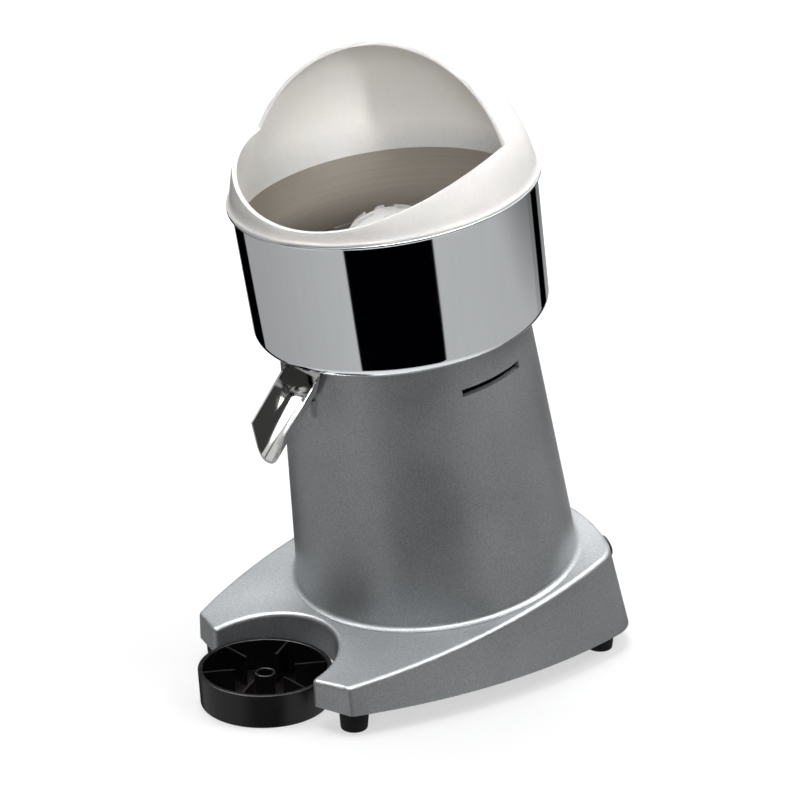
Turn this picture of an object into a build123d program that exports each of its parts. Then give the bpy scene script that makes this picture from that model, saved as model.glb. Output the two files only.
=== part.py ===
"""Electric citrus press: a leaning cast housing with its motor, a lift-off steel bowl with strainer,
reamer and splash guard, and a round drip tray that stands in a recess of the base.

Millimetres and degrees. Z is up, the spout faces -Y, and the origin lies on the table midway between
the four feet. The housing, the motor and the bowl lean forward: their places are given across (x),
back from the leaning axis (back) and up along it (up)."""

import os
from math import cos, radians, sin, sqrt, tan

from build123d import *

os.makedirs("parts", exist_ok=True)

# Leaning axis of the housing
lean = 10.0
axis_foot_y = 44.5

# Fits and clearances
running_fit = 0.05
seat_fit = 0.05
thread_fit = 0.05
loose_fit = 0.5
hole_clearance = 0.3

# Cast base
foot_height = 15.0
base_top = 63.0
base_half_width = 109.0
base_widest_back = -5.0
base_side_radius = 400.0
base_rear = 108.5
base_rear_radius = 170.0
base_rear_corner = 28.0
base_draft = 7.0
base_edge = 3.2
prong_corner_back = -153.5
prong_corner_edge = 4.0
prong_tip_back = -162.5
prong_tip_edge = 4.0
recess_radius = 51.0
recess_lead = 6.6
casting_wall = 4.0

# Leaning body of the casting
body_top = 252.0
body_foot_radius = 100.2
body_top_radius = 84.9
body_foot_flare = 4.0
body_foot_lip = 0.4
body_flange = 7.0
body_flange_inner = 84.0
body_bolt_circle = 90.0
body_bolt_depth = 6.0
body_top_edge = 1.5
body_roof = 6.0
vent_low = 223.6
vent_height = 4.9
vent_length = 51.5
lug_low = 213.0
lug_high = 225.0
lug_width = 10.0
lug_reach = 3.5

# Spigot on the body's top, with the shaft seal
spigot_radius = 19.5
spigot_height = 30.0
seal_radius = 13.0
seal_height = 7.0
seal_wall = 2.0
seal_lip = 1.5

# Feet and underside
foot_front_x = 72.0
foot_rear_x = 93.5
foot_spacing = 211.0
foot_top_radius = 10.3
foot_bottom_radius = 9.0
foot_edge = 1.2
foot_boss_radius = 7.5
foot_seat = 9.0
plate_thickness = 2.0
plate_gap = 0.4
plate_slot_length = 44.0
plate_slot_width = 4.0
plate_slot_pitch = 9.0
plate_slot_count = 7
plate_slot_y = -6.0
screw_radius = 2.0
screw_head_radius = 4.0
screw_head_height = 2.8
screw_grip = 9.0
screw_drive_width = 1.0
screw_drive_depth = 1.2

# Drip tray
tray_reach = 167.6
tray_top_radius = 45.6
tray_bottom_radius = 44.2
tray_height = 24.4
tray_wall = 3.3
tray_floor = 2.6
tray_rib_count = 6
tray_rib_thickness = 1.6
tray_rib_inner = 20.5
tray_rib_drop = 0.4
tray_hub_radius = 7.3
tray_hub_high = 20.3
tray_hub_wall = 2.0
tray_edge = 0.8

# Motor
shaft_radius = 6.0
shaft_low = 90.0
shaft_high = 316.0
shaft_edge = 0.8
bearing_radius = 16.0
bearing_width = 10.0
bearing_groove = 0.6
bearing_ring = 3.0
stator_low = 150.0
stator_high = 210.0
stator_radius = 59.0
stator_bore = 34.0
stator_slot_count = 24
stator_slot_width = 4.0
stator_slot_depth = 12.0
air_gap = 0.6
winding_height = 18.0
winding_inner = 37.5
winding_outer = 56.0
winding_edge = 5.0
rotor_ring_height = 6.0
rotor_ring_width = 9.0
shield_plate = 8.0
shield_wall = 4.0
shield_lap = 8.0
shield_hub_wall = 5.0
shield_bore = 9.0
ear_pitch_radius = 67.0
ear_radius = 7.0
ear_count = 4
ear_turn = 45.0
bolt_radius = 2.5
bolt_head_radius = 4.5
bolt_head_height = 3.5
bolt_engagement = 4.5
fan_radius = 52.0
fan_hub_radius = 12.0
fan_height = 16.0
fan_disc = 2.0
fan_blade = 1.8
fan_blade_count = 9
fan_gap = 2.5
clip_thickness = 1.2
clip_radius = 9.0
clip_groove = 0.8
clip_opening = 8.0

# Drive of the reamer
pin_radius = 2.0
pin_length = 18.0
pin_up = 300.0
pin_slot_gap = 0.3

# Bowl, sleeve and spout
sheet = 1.2
bowl_bottom_radius = 100.7
bowl_top_radius = 102.0
bowl_corner = 8.0
rim_up = 348.0
rim_radius = 105.0
rim_height = 2.2
rim_edge = 0.9
sleeve_gap = 0.7
sleeve_high = 296.0
outlet_width = 20.0
outlet_front = 96.0
outlet_rear = 90.0
spout_slope = 38.8
spout_half_top = 17.6
spout_half_bottom = 8.5
spout_depth = 15.5
spout_corner = 8.0
spout_end_reach = 161.5
spout_floor_back = -128.0
spout_floor_up = 197.0
spout_back_gap = 1.6

# Strainer
strainer_radius = 91.5
strainer_high = 288.0
strainer_floor = 264.0
strainer_collar_gap = 2.0
strainer_collar_high = 280.0
strainer_bead = 1.6
strainer_slot_count = 30
strainer_slot_length = 22.0
strainer_slot_width = 3.0
strainer_slot_rings = (44.0, 72.0)
strainer_notch_count = 8
strainer_notch_width = 16.0
strainer_notch_height = 6.0
strainer_notch_depth = 6.0

# Reamer
reamer_radius = 36.4
reamer_centre_up = 291.6
reamer_low = 272.0
reamer_wall = 3.2
reamer_hub_radius = 16.0
reamer_hub_low = 292.0
reamer_rib_pairs = 5
reamer_rib_height = 1.9
reamer_rib_width = 2.6
reamer_rib_turn = 14.4
reamer_long_rib_inner = 9.0
reamer_short_rib_inner = 19.0
insert_radius = 11.0
insert_low = 287.0
insert_high = 320.0

# Splash guard
guard_turn = 19.4
guard_radius = 103.0
guard_wall = 3.0
guard_centre_drop = 9.5
guard_flange_height = 2.0
guard_flare_height = 9.0
guard_collar_depth = 14.5
guard_collar_wall = 2.0
guard_collar_gap = 0.6
guard_lip_front = 8.0
guard_lip_side = 31.5
guard_lip_span = 92.0
guard_hood_forward = 8.2
guard_hood_rake = 0.32

# Rear switch and cable gland
switch_turn = -13.0
switch_up = 36.0
switch_width = 21.0
switch_height = 28.0
switch_depth = 22.0
switch_flange = 2.5
switch_flange_thickness = 2.0
switch_wall = 1.6
switch_back = 3.0
switch_edge = 2.0
tab_thickness = 0.8
tab_width = 6.3
tab_length = 8.0
rocker_gap = 0.4
rocker_crown = 3.0
rocker_depth = 9.0
rocker_keel = 3.0
rocker_tilt = 9.0
rocker_pivot_radius = 1.5
rocker_pivot_reach = 1.2
pocket_depth = 1.6
pocket_gap = 0.5
gland_turn = 17.0
gland_up = 32.0
gland_thread_radius = 8.0
gland_bore_radius = 4.0
gland_flats = 20.0
gland_collar = 4.0
gland_dome = 9.0
gland_dome_radius = 8.5
gland_edge = 2.0
gland_thread_length = 12.0
gland_nut_height = 4.0
gland_panel = 5.0
gland_nut_flats = 21.0

# Electrical parts on the underside plate
capacitor_radius = 17.5
capacitor_length = 62.0
capacitor_edge = 2.0
capacitor_x = -32.0
capacitor_y = 62.0
clip_band_width = 14.0
clip_band_thickness = 1.0
clip_foot_length = 14.0
block_length = 44.0
block_width = 20.0
block_height = 15.0
block_tab_length = 9.0
block_tab_thickness = 3.0
block_x = 46.0
block_y = 62.0
block_pole_count = 3
block_pole_pitch = 13.0
block_screw_radius = 2.6
block_screw_depth = 3.0
block_well = 7.0
block_wire_radius = 2.2
block_wire_up = 4.5
earth_x = 60.0
earth_y = 28.0
earth_washer = 1.2

# Frame of the leaning parts
lean_sin = sin(radians(lean))
lean_cos = cos(radians(lean))
axis_foot = Vector(0, axis_foot_y, 0)
up_vector = Vector(0, -lean_sin, lean_cos)
back_vector = Vector(0, lean_cos, lean_sin)
across_vector = Vector(1, 0, 0)
lean_plane = Plane(origin=axis_foot, x_dir=across_vector, z_dir=up_vector)
section_plane = Plane(origin=axis_foot, x_dir=across_vector, z_dir=-back_vector)
body_axis = Axis(axis_foot, up_vector)
table = Plane.XY


def lean_point(across, back, up):
    """A point of the leaning frame, as a place in the part's own frame."""
    return axis_foot + across_vector * across + back_vector * back + up_vector * up


def level(up):
    """The plane square to the leaning axis at a height along it."""
    return lean_plane.offset(up)


def tube(low, high, outer, inner=0.0, mode=Mode.ADD):
    """A round or a tube about the leaning axis between two heights."""
    with BuildSketch(level(low)) as ring:
        Circle(outer)
        if inner > 0:
            Circle(inner, mode=Mode.SUBTRACT)
    extrude(ring.sketch, amount=high - low, mode=mode)


def turned(*points, mode=Mode.ADD):
    """A solid of revolution about the leaning axis, from radius and height points."""
    with BuildSketch(section_plane) as outline:
        with BuildLine():
            Polyline(*points, close=True)
        make_face()
    revolve(outline.sketch, axis=body_axis, mode=mode)


def body_radius(up):
    """Outer radius of the leaning body at a height along its axis."""
    share = (up - base_top) / (body_top - base_top)
    return body_foot_radius + (body_top_radius - body_foot_radius) * share


def ring_places(count, radius, turn, up):
    """Places around the leaning axis, at a height along it."""
    return [
        level(up).from_local_coords(Vector(radius, 0, 0).rotate(Axis.Z, turn + 360 * n / count))
        for n in range(count)
    ]


def save(builder, name):
    """Labels a finished piece and writes its file."""
    builder.part.label = name
    export_step(builder.part, f"parts/{name}.step")


# Plan of the base, drawn square to the leaning axis
recess_back = recess_lead - tray_reach
prong_corner_x = (
    base_half_width
    - base_side_radius
    + sqrt(base_side_radius**2 - (prong_corner_back - base_widest_back) ** 2)
)
prong_front_slope = (prong_corner_back - prong_tip_back) / (prong_corner_x - recess_radius)
plan_reach = 2 * base_half_width
plan_reach_back = prong_tip_back + prong_front_slope * (plan_reach - recess_radius)
base_depth = base_top + base_rear * lean_sin


def base_plan(up, inset=0.0):
    """Outline of the base without its recess, at a height along the axis and inset from its walls."""
    front_shift = inset * sqrt(1 + prong_front_slope**2)
    with BuildSketch(level(up)) as plan:
        with Locations((0, base_rear - base_rear_radius)):
            Circle(base_rear_radius - inset)
        for side in (-1, 1):
            with Locations((side * (base_half_width - base_side_radius), base_widest_back)):
                Circle(base_side_radius - inset, mode=Mode.INTERSECT)
        with BuildLine():
            Polyline(
                (0, prong_tip_back - prong_front_slope * recess_radius + front_shift),
                (plan_reach, plan_reach_back + front_shift),
                (plan_reach, base_rear + plan_reach),
                (-plan_reach, base_rear + plan_reach),
                (-plan_reach, plan_reach_back + front_shift),
                close=True,
            )
        make_face(mode=Mode.INTERSECT)
        rows = plan.vertices().group_by(Axis.Y)
        fillet(rows[-1], base_rear_corner - inset)
    return plan.sketch


def base_block(up, inset=0.0):
    """The base's tapering block below a height, inset from its walls and cut level at the underside."""
    flare = base_depth * tan(radians(base_draft))
    loft([base_plan(up, inset), base_plan(up - base_depth, inset - flare)], ruled=True)
    with BuildSketch(level(up - base_depth)) as well:
        with Locations((0, recess_back)):
            Circle(recess_radius + inset)
    extrude(well.sketch, amount=2 * base_depth, mode=Mode.SUBTRACT)
    split(bisect_by=table.offset(foot_height), keep=Keep.TOP)


foot_places = {
    "foot_front_left": (-foot_front_x, -foot_spacing / 2),
    "foot_front_right": (foot_front_x, -foot_spacing / 2),
    "foot_rear_left": (-foot_rear_x, foot_spacing / 2),
    "foot_rear_right": (foot_rear_x, foot_spacing / 2),
}
plate_top = foot_height + plate_thickness

# Hollow of the base, with the bosses for the foot screws left standing
with BuildPart() as base_hollow:
    base_block(base_top - casting_wall, casting_wall)
    with BuildSketch(table.offset(plate_top)):
        with Locations(*foot_places.values()):
            Circle(foot_boss_radius)
    extrude(amount=base_top, mode=Mode.SUBTRACT)


# Flat pockets in the rear wall for the switch and the cable gland
def rear_plane(turn, up, sink):
    """A plane facing out of the rear wall at an angle round it, sunk below its surface."""
    reach = base_rear_radius + (base_top - up) * tan(radians(base_draft))
    across = reach * sin(radians(turn))
    back = base_rear - base_rear_radius + reach * cos(radians(turn))
    level_out = across_vector * sin(radians(turn)) + back_vector * cos(radians(turn))
    outward = level_out * cos(radians(base_draft)) + up_vector * sin(radians(base_draft))
    sideways = back_vector * sin(radians(turn)) - across_vector * cos(radians(turn))
    return Plane(origin=lean_point(across, back, up) - outward * sink, x_dir=sideways, z_dir=outward)


switch_plane = rear_plane(switch_turn, switch_up, pocket_depth)
gland_plane = rear_plane(gland_turn, gland_up, pocket_depth)
switch_flange_width = switch_width + 2 * switch_flange
switch_flange_height = switch_height + 2 * switch_flange
gland_pocket_radius = gland_flats / sqrt(3) + pocket_gap
panel_back = casting_wall + pocket_depth
gland_pad_radius = gland_nut_flats / sqrt(3) + pocket_gap

# Cast base with the recess for the tray, an opening under the body and bosses for the feet
upright_limit = cos(radians(2 * base_draft))
with BuildPart() as base_casting:
    base_block(base_top)
    uprights = base_casting.edges().filter_by(lambda e: abs(e.tangent_at(0.5).dot(up_vector)) > upright_limit)
    fillet(uprights.sort_by(Axis.Y)[2:4], prong_corner_edge)
    uprights = base_casting.edges().filter_by(lambda e: abs(e.tangent_at(0.5).dot(up_vector)) > upright_limit)
    fillet(uprights.sort_by(Axis.Y)[:2], prong_tip_edge)
    fillet(base_casting.faces().sort_by(body_axis)[-1].edges(), base_edge)
    add(base_hollow.part, mode=Mode.SUBTRACT)
    tube(base_top - 2 * casting_wall, base_top, body_flange_inner, mode=Mode.SUBTRACT)
    for place in ring_places(ear_count, body_bolt_circle, ear_turn, base_top):
        with BuildSketch(Plane(origin=place, x_dir=across_vector, z_dir=up_vector)) as ledge_hole:
            Circle(bolt_radius + hole_clearance)
        extrude(ledge_hole.sketch, amount=-2 * casting_wall, mode=Mode.SUBTRACT)
    with BuildSketch(switch_plane):
        Rectangle(switch_flange_width + 2 * pocket_gap, switch_flange_height + 2 * pocket_gap)
    extrude(amount=panel_back, mode=Mode.SUBTRACT)
    with BuildSketch(switch_plane):
        Rectangle(switch_width + 2 * hole_clearance, switch_height + 2 * hole_clearance)
    extrude(amount=-2 * panel_back, mode=Mode.SUBTRACT)
    with BuildSketch(gland_plane.offset(-gland_panel)):
        Circle(gland_pad_radius)
    extrude(amount=gland_panel - pocket_depth)
    with BuildSketch(gland_plane):
        Circle(gland_pocket_radius)
    extrude(amount=panel_back, mode=Mode.SUBTRACT)
    with BuildSketch(gland_plane):
        Circle(gland_thread_radius + hole_clearance)
    extrude(amount=-2 * panel_back, mode=Mode.SUBTRACT)
    with BuildSketch(table.offset(foot_height)):
        with Locations(*foot_places.values()):
            Circle(screw_radius + thread_fit)
    extrude(amount=plate_thickness + screw_grip + hole_clearance, mode=Mode.SUBTRACT)
save(base_casting, "base_casting")

# Leaning body with a flared foot, a bolting flange inside it, the spigot and the spout lug
spigot_high = body_top + spigot_height
roof_under = body_top - body_roof
flare_up = base_top + body_foot_lip + body_foot_flare
flange_top = base_top + body_flange
lug_front = body_radius(lug_low) + lug_reach
lug_bend = lug_front - lug_width / 2
with BuildPart() as housing:
    with BuildSketch(section_plane):
        with BuildLine():
            Polyline(
                (body_radius(flare_up), flare_up),
                (body_top_radius, body_top),
                (0, body_top),
                (0, base_top),
                (body_foot_radius + body_foot_flare, base_top),
                (body_foot_radius + body_foot_flare, base_top + body_foot_lip),
            )
            RadiusArc(
                (body_foot_radius + body_foot_flare, base_top + body_foot_lip),
                (body_radius(flare_up), flare_up),
                body_foot_flare + body_foot_lip,
            )
        make_face()
    revolve(axis=body_axis)
    top_ring = housing.edges().filter_by(GeomType.CIRCLE)
    top_ring = top_ring.filter_by(lambda e: abs(e.radius - body_top_radius) < running_fit)
    fillet(top_ring, body_top_edge)
    with BuildSketch(level(lug_low)):
        with BuildLine():
            Line((lug_width / 2, 0), (lug_width / 2, -lug_bend))
            ThreePointArc((lug_width / 2, -lug_bend), (0, -lug_front), (-lug_width / 2, -lug_bend))
            Line((-lug_width / 2, -lug_bend), (-lug_width / 2, 0))
            Line((-lug_width / 2, 0), (lug_width / 2, 0))
        make_face()
    extrude(amount=lug_high - lug_low)
    tube(body_top, spigot_high, spigot_radius)
    turned(
        (0, base_top),
        (body_flange_inner, base_top),
        (body_flange_inner, flange_top),
        (body_radius(flange_top) - casting_wall, flange_top),
        (body_top_radius - casting_wall, roof_under),
        (0, roof_under),
        mode=Mode.SUBTRACT,
    )
    tube(roof_under, spigot_high, shield_bore, mode=Mode.SUBTRACT)
    tube(spigot_high - seal_height, spigot_high, seal_radius, mode=Mode.SUBTRACT)
    with BuildSketch(level(vent_low)):
        Rectangle(4 * body_top_radius, vent_length)
        Circle(body_top_radius - 2 * casting_wall, mode=Mode.SUBTRACT)
    extrude(amount=vent_height, mode=Mode.SUBTRACT)
    motor_bolt_places = ring_places(ear_count, ear_pitch_radius, ear_turn, roof_under)
    body_bolt_places = ring_places(ear_count, body_bolt_circle, ear_turn, base_top)
    for place, depth in (
        *((place, bolt_engagement) for place in motor_bolt_places),
        *((place, body_bolt_depth) for place in body_bolt_places),
    ):
        with BuildSketch(Plane(origin=place, x_dir=across_vector, z_dir=up_vector)) as bolt_hole:
            Circle(bolt_radius + thread_fit)
        extrude(bolt_hole.sketch, amount=depth, mode=Mode.SUBTRACT)
save(housing, "housing")

# Plate that closes the underside, with slots for the cooling air
slot_places = [
    ((n - (plate_slot_count - 1) / 2) * plate_slot_pitch, plate_slot_y) for n in range(plate_slot_count)
]
clip_foot_x = capacitor_x
clip_arch_radius = capacitor_radius + seat_fit
clip_foot_y = clip_arch_radius + clip_band_thickness + clip_foot_length / 2
clip_screw_places = [(clip_foot_x, capacitor_y + side * clip_foot_y) for side in (-1, 1)]
block_tab_x = block_length / 2 + block_tab_length / 2
block_screw_places = [(block_x + side * block_tab_x, block_y) for side in (-1, 1)]
plate_screw_places = clip_screw_places + block_screw_places + [(earth_x, earth_y)]
with BuildPart() as bottom_plate:
    base_block(base_top - casting_wall, casting_wall + plate_gap)
    split(bisect_by=table.offset(plate_top), keep=Keep.BOTTOM)
    with BuildSketch(table.offset(foot_height)):
        with Locations(*slot_places):
            SlotOverall(plate_slot_length, plate_slot_width, rotation=90)
        with Locations(*foot_places.values()):
            Circle(screw_radius + hole_clearance)
        with Locations(*plate_screw_places):
            Circle(screw_radius + thread_fit)
    extrude(amount=plate_thickness, mode=Mode.SUBTRACT)
save(bottom_plate, "bottom_plate")

# Four rubber feet, each with a sunk seat for its screw
for foot_name, foot_place in foot_places.items():
    with BuildPart() as foot:
        with BuildSketch(Plane(origin=(*foot_place, 0), x_dir=(1, 0, 0), z_dir=(0, -1, 0))):
            with BuildLine():
                Polyline(
                    (screw_head_radius + loose_fit, 0),
                    (foot_bottom_radius, 0),
                    (foot_top_radius, foot_height),
                    (screw_radius + hole_clearance, foot_height),
                    (screw_radius + hole_clearance, foot_seat),
                    (screw_head_radius + loose_fit, foot_seat),
                    close=True,
                )
            make_face()
        revolve(axis=Axis((*foot_place, 0), (0, 0, 1)))
        fillet(foot.edges().sort_by(Axis.Z)[:2].sort_by(SortBy.LENGTH)[-1], foot_edge)
    save(foot, foot_name)

# Screws through the feet and the plate into the casting
with BuildPart() as foot_screws:
    with BuildSketch(table.offset(foot_seat - screw_head_height)):
        with Locations(*foot_places.values()):
            Circle(screw_head_radius)
    extrude(amount=screw_head_height)
    with BuildSketch(table.offset(foot_seat)):
        with Locations(*foot_places.values()):
            Circle(screw_radius)
    extrude(amount=plate_top + screw_grip - foot_seat)
    with BuildSketch(table.offset(foot_seat - screw_head_height)):
        with Locations(*foot_places.values()):
            Rectangle(2 * screw_head_radius, screw_drive_width)
    extrude(amount=screw_drive_depth, mode=Mode.SUBTRACT)
save(foot_screws, "foot_screws")

# Round drip tray with a hollow hub and short ribs inside its wall
tray_y = axis_foot_y - tray_reach
tray_axis = Axis((0, tray_y, 0), (0, 0, 1))
tray_wall_radius = tray_bottom_radius - tray_wall
tray_rib_length = tray_wall_radius + tray_wall / 2 - tray_rib_inner
with BuildPart() as drip_tray:
    with BuildSketch(Plane(origin=(0, tray_y, 0), x_dir=(1, 0, 0), z_dir=(0, -1, 0))):
        with BuildLine():
            Polyline(
                (0, 0),
                (tray_bottom_radius, 0),
                (tray_top_radius, tray_height),
                (tray_top_radius - tray_wall, tray_height),
                (tray_wall_radius, tray_floor),
                (0, tray_floor),
                close=True,
            )
        make_face()
    revolve(axis=tray_axis)
    tray_rims = drip_tray.edges().filter_by(GeomType.CIRCLE)
    fillet(tray_rims.filter_by_position(Axis.Z, tray_height, tray_height), tray_edge)
    fillet(drip_tray.faces().sort_by(Axis.Z)[0].edges(), tray_edge)
    with BuildSketch(table.offset(tray_floor)):
        with Locations((0, tray_y)):
            with PolarLocations(tray_rib_inner + tray_rib_length / 2, tray_rib_count):
                Rectangle(tray_rib_length, tray_rib_thickness)
    extrude(amount=tray_height - tray_rib_drop - tray_floor)
    with BuildSketch(table.offset(tray_floor)):
        with Locations((0, tray_y)):
            Circle(tray_hub_radius)
            Circle(tray_hub_radius - tray_hub_wall, mode=Mode.SUBTRACT)
    extrude(amount=tray_hub_high - tray_floor)
    hub_rim = drip_tray.edges().filter_by(GeomType.CIRCLE)
    fillet(hub_rim.filter_by_position(Axis.Z, tray_hub_high, tray_hub_high), tray_edge)
save(drip_tray, "drip_tray")

# Motor end shields: each holds a bearing and laps over the stator
upper_plate_low = roof_under - shield_plate
upper_bearing_low = upper_plate_low - bearing_width
lower_bearing_low = stator_low - winding_height - bearing_width
lower_plate_low = lower_bearing_low - shield_plate
skirt_inner = stator_radius + seat_fit
skirt_outer = skirt_inner + shield_wall
hub_outer = bearing_radius + seat_fit + shield_hub_wall


def end_shield(plate_low, bearing_low, skirt_low, skirt_high):
    """Plate, bearing hub, skirt and bolt ears of one end of the motor."""
    tube(plate_low, plate_low + shield_plate, skirt_outer)
    tube(skirt_low, skirt_high, skirt_outer, skirt_inner)
    tube(bearing_low, bearing_low + bearing_width, hub_outer)
    for place in ring_places(ear_count, ear_pitch_radius, ear_turn, plate_low):
        with BuildSketch(Plane(origin=place, x_dir=across_vector, z_dir=up_vector)) as ear:
            Circle(ear_radius)
        extrude(ear.sketch, amount=shield_plate)
    tube(bearing_low, bearing_low + bearing_width, bearing_radius + seat_fit, mode=Mode.SUBTRACT)
    tube(plate_low, plate_low + shield_plate, shield_bore, mode=Mode.SUBTRACT)
    for place in ring_places(ear_count, ear_pitch_radius, ear_turn, plate_low):
        with BuildSketch(Plane(origin=place, x_dir=across_vector, z_dir=up_vector)) as ear_hole:
            Circle(bolt_radius + hole_clearance)
        extrude(ear_hole.sketch, amount=shield_plate, mode=Mode.SUBTRACT)


with BuildPart() as upper_end_shield:
    end_shield(upper_plate_low, upper_bearing_low, stator_high - shield_lap, upper_plate_low)
save(upper_end_shield, "upper_end_shield")

with BuildPart() as lower_end_shield:
    end_shield(lower_plate_low, lower_bearing_low, lower_bearing_low, stator_low + shield_lap)
save(lower_end_shield, "lower_end_shield")


def hex_bolts(seat, circle, length):
    """Bolts round the leaning axis with their heads under a seat and a length of shank above it."""
    for place in ring_places(ear_count, circle, ear_turn, seat):
        with BuildSketch(Plane(origin=place, x_dir=across_vector, z_dir=up_vector)) as bolt_shank:
            Circle(bolt_radius)
        extrude(bolt_shank.sketch, amount=length)
        with BuildSketch(Plane(origin=place, x_dir=across_vector, z_dir=up_vector)) as bolt_head:
            RegularPolygon(bolt_head_radius, 6)
        extrude(bolt_head.sketch, amount=-bolt_head_height)


# Bolts from under the lower shield up into the body's roof, and from inside the base into the body's foot
with BuildPart() as motor_bolts:
    hex_bolts(lower_plate_low, ear_pitch_radius, roof_under + bolt_engagement - lower_plate_low)
save(motor_bolts, "motor_bolts")

with BuildPart() as body_bolts:
    hex_bolts(base_top - casting_wall, body_bolt_circle, casting_wall + body_bolt_depth - hole_clearance)
save(body_bolts, "body_bolts")

# Stator with its slots, and the end turns of its windings
with BuildPart() as stator_core:
    with BuildSketch(level(stator_low)):
        Circle(stator_radius)
        Circle(stator_bore, mode=Mode.SUBTRACT)
        with PolarLocations(stator_bore, stator_slot_count):
            Rectangle(2 * stator_slot_depth, stator_slot_width, mode=Mode.SUBTRACT)
    extrude(amount=stator_high - stator_low)
save(stator_core, "stator_core")

for winding_name, winding_low in (
    ("winding_upper", stator_high),
    ("winding_lower", stator_low - winding_height),
):
    with BuildPart() as winding:
        tube(winding_low, winding_low + winding_height, winding_outer, winding_inner)
        fillet(winding.edges().filter_by(GeomType.CIRCLE), winding_edge)
    save(winding, winding_name)

# Bearings in the two shields
for bearing_name, bearing_low in (
    ("bearing_upper", upper_bearing_low),
    ("bearing_lower", lower_bearing_low),
):
    with BuildPart() as bearing:
        tube(bearing_low, bearing_low + bearing_width, bearing_radius, shaft_radius + running_fit)
        for groove_low in (bearing_low, bearing_low + bearing_width - bearing_groove):
            tube(
                groove_low,
                groove_low + bearing_groove,
                bearing_radius - bearing_ring,
                shaft_radius + bearing_ring,
                mode=Mode.SUBTRACT,
            )
    save(bearing, bearing_name)

# Rotor on its shaft, with a cooling fan below the lower shield
fan_high = lower_plate_low - fan_gap
fan_low = fan_high - fan_height
clip_low = fan_low - clip_thickness
rotor_radius = stator_bore - air_gap
with BuildPart() as rotor_core:
    tube(stator_low, stator_high, rotor_radius, shaft_radius + seat_fit)
    for ring_low in (stator_low - rotor_ring_height, stator_high):
        tube(ring_low, ring_low + rotor_ring_height, rotor_radius, rotor_radius - rotor_ring_width)
save(rotor_core, "rotor_core")

pin_plane = Plane(origin=lean_point(0, 0, pin_up), x_dir=up_vector, z_dir=across_vector)
with BuildPart() as motor_shaft:
    tube(shaft_low, shaft_high, shaft_radius)
    chamfer(motor_shaft.edges().filter_by(GeomType.CIRCLE), shaft_edge)
    tube(clip_low, fan_low, shaft_radius, shaft_radius - clip_groove, mode=Mode.SUBTRACT)
    with BuildSketch(pin_plane):
        Circle(pin_radius + seat_fit)
    extrude(amount=shaft_radius, both=True, mode=Mode.SUBTRACT)
save(motor_shaft, "motor_shaft")

with BuildPart() as cooling_fan:
    tube(fan_low, fan_high, fan_hub_radius)
    tube(fan_high - fan_disc, fan_high, fan_radius)
    with BuildSketch(level(fan_low)):
        with PolarLocations(fan_radius / 2, fan_blade_count):
            Rectangle(fan_radius, fan_blade)
    extrude(amount=fan_height - fan_disc)
    tube(fan_low, fan_high, shaft_radius + seat_fit, mode=Mode.SUBTRACT)
save(cooling_fan, "cooling_fan")

with BuildPart() as fan_clip:
    with BuildSketch(level(clip_low)):
        Circle(clip_radius)
        Circle(shaft_radius - clip_groove + seat_fit, mode=Mode.SUBTRACT)
        with Locations((clip_radius / 2, 0)):
            Rectangle(clip_radius, clip_opening, mode=Mode.SUBTRACT)
    extrude(amount=clip_thickness)
save(fan_clip, "fan_clip")

with BuildPart() as drive_pin:
    with BuildSketch(pin_plane):
        Circle(pin_radius)
    extrude(amount=pin_length / 2, both=True)
save(drive_pin, "drive_pin")

# Lip seal in the top of the spigot
with BuildPart() as shaft_seal:
    seal_low = spigot_high - seal_height
    tube(seal_low, spigot_high, seal_radius - seat_fit, shaft_radius + running_fit)
    tube(
        seal_low,
        spigot_high - seal_lip,
        seal_radius - seal_wall,
        shaft_radius + seal_lip,
        mode=Mode.SUBTRACT,
    )
save(shaft_seal, "shaft_seal")

# Sheet steel bowl with a rolled rim and an outlet in its floor
sleeve_inner = spigot_radius + sleeve_gap
sleeve_outer = sleeve_inner + sheet
bowl_floor = body_top + sheet
rim_low = rim_up - rim_height
bowl_flat = bowl_bottom_radius - bowl_corner
bowl_wall_foot = body_top + bowl_corner
with BuildPart() as bowl:
    with BuildSketch(section_plane):
        with BuildLine():
            Line((sleeve_outer + seat_fit, body_top), (bowl_flat, body_top))
            RadiusArc((bowl_flat, body_top), (bowl_bottom_radius, bowl_wall_foot), -bowl_corner)
            Polyline(
                (bowl_bottom_radius, bowl_wall_foot),
                (bowl_top_radius, rim_low),
                (rim_radius, rim_low),
                (rim_radius, rim_up),
                (bowl_top_radius - sheet, rim_up),
                (bowl_bottom_radius - sheet, bowl_wall_foot),
            )
            RadiusArc(
                (bowl_bottom_radius - sheet, bowl_wall_foot),
                (bowl_flat, bowl_floor),
                bowl_corner - sheet,
            )
            Polyline((bowl_flat, bowl_floor), (sleeve_outer + seat_fit, bowl_floor))
            Line((sleeve_outer + seat_fit, bowl_floor), (sleeve_outer + seat_fit, body_top))
        make_face()
    revolve(axis=body_axis)
    rim_edges = bowl.edges().filter_by(GeomType.CIRCLE)
    fillet(rim_edges.filter_by(lambda e: e.radius > rim_radius - seat_fit), rim_edge)
    with BuildSketch(level(body_top)):
        with Locations((0, -(outlet_front + outlet_rear) / 2)):
            Rectangle(outlet_width, outlet_front - outlet_rear)
    extrude(amount=bowl_corner, mode=Mode.SUBTRACT)
save(bowl, "bowl")

with BuildPart() as bowl_sleeve:
    tube(body_top, sleeve_high, sleeve_outer, sleeve_inner)
save(bowl_sleeve, "bowl_sleeve")

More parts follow.
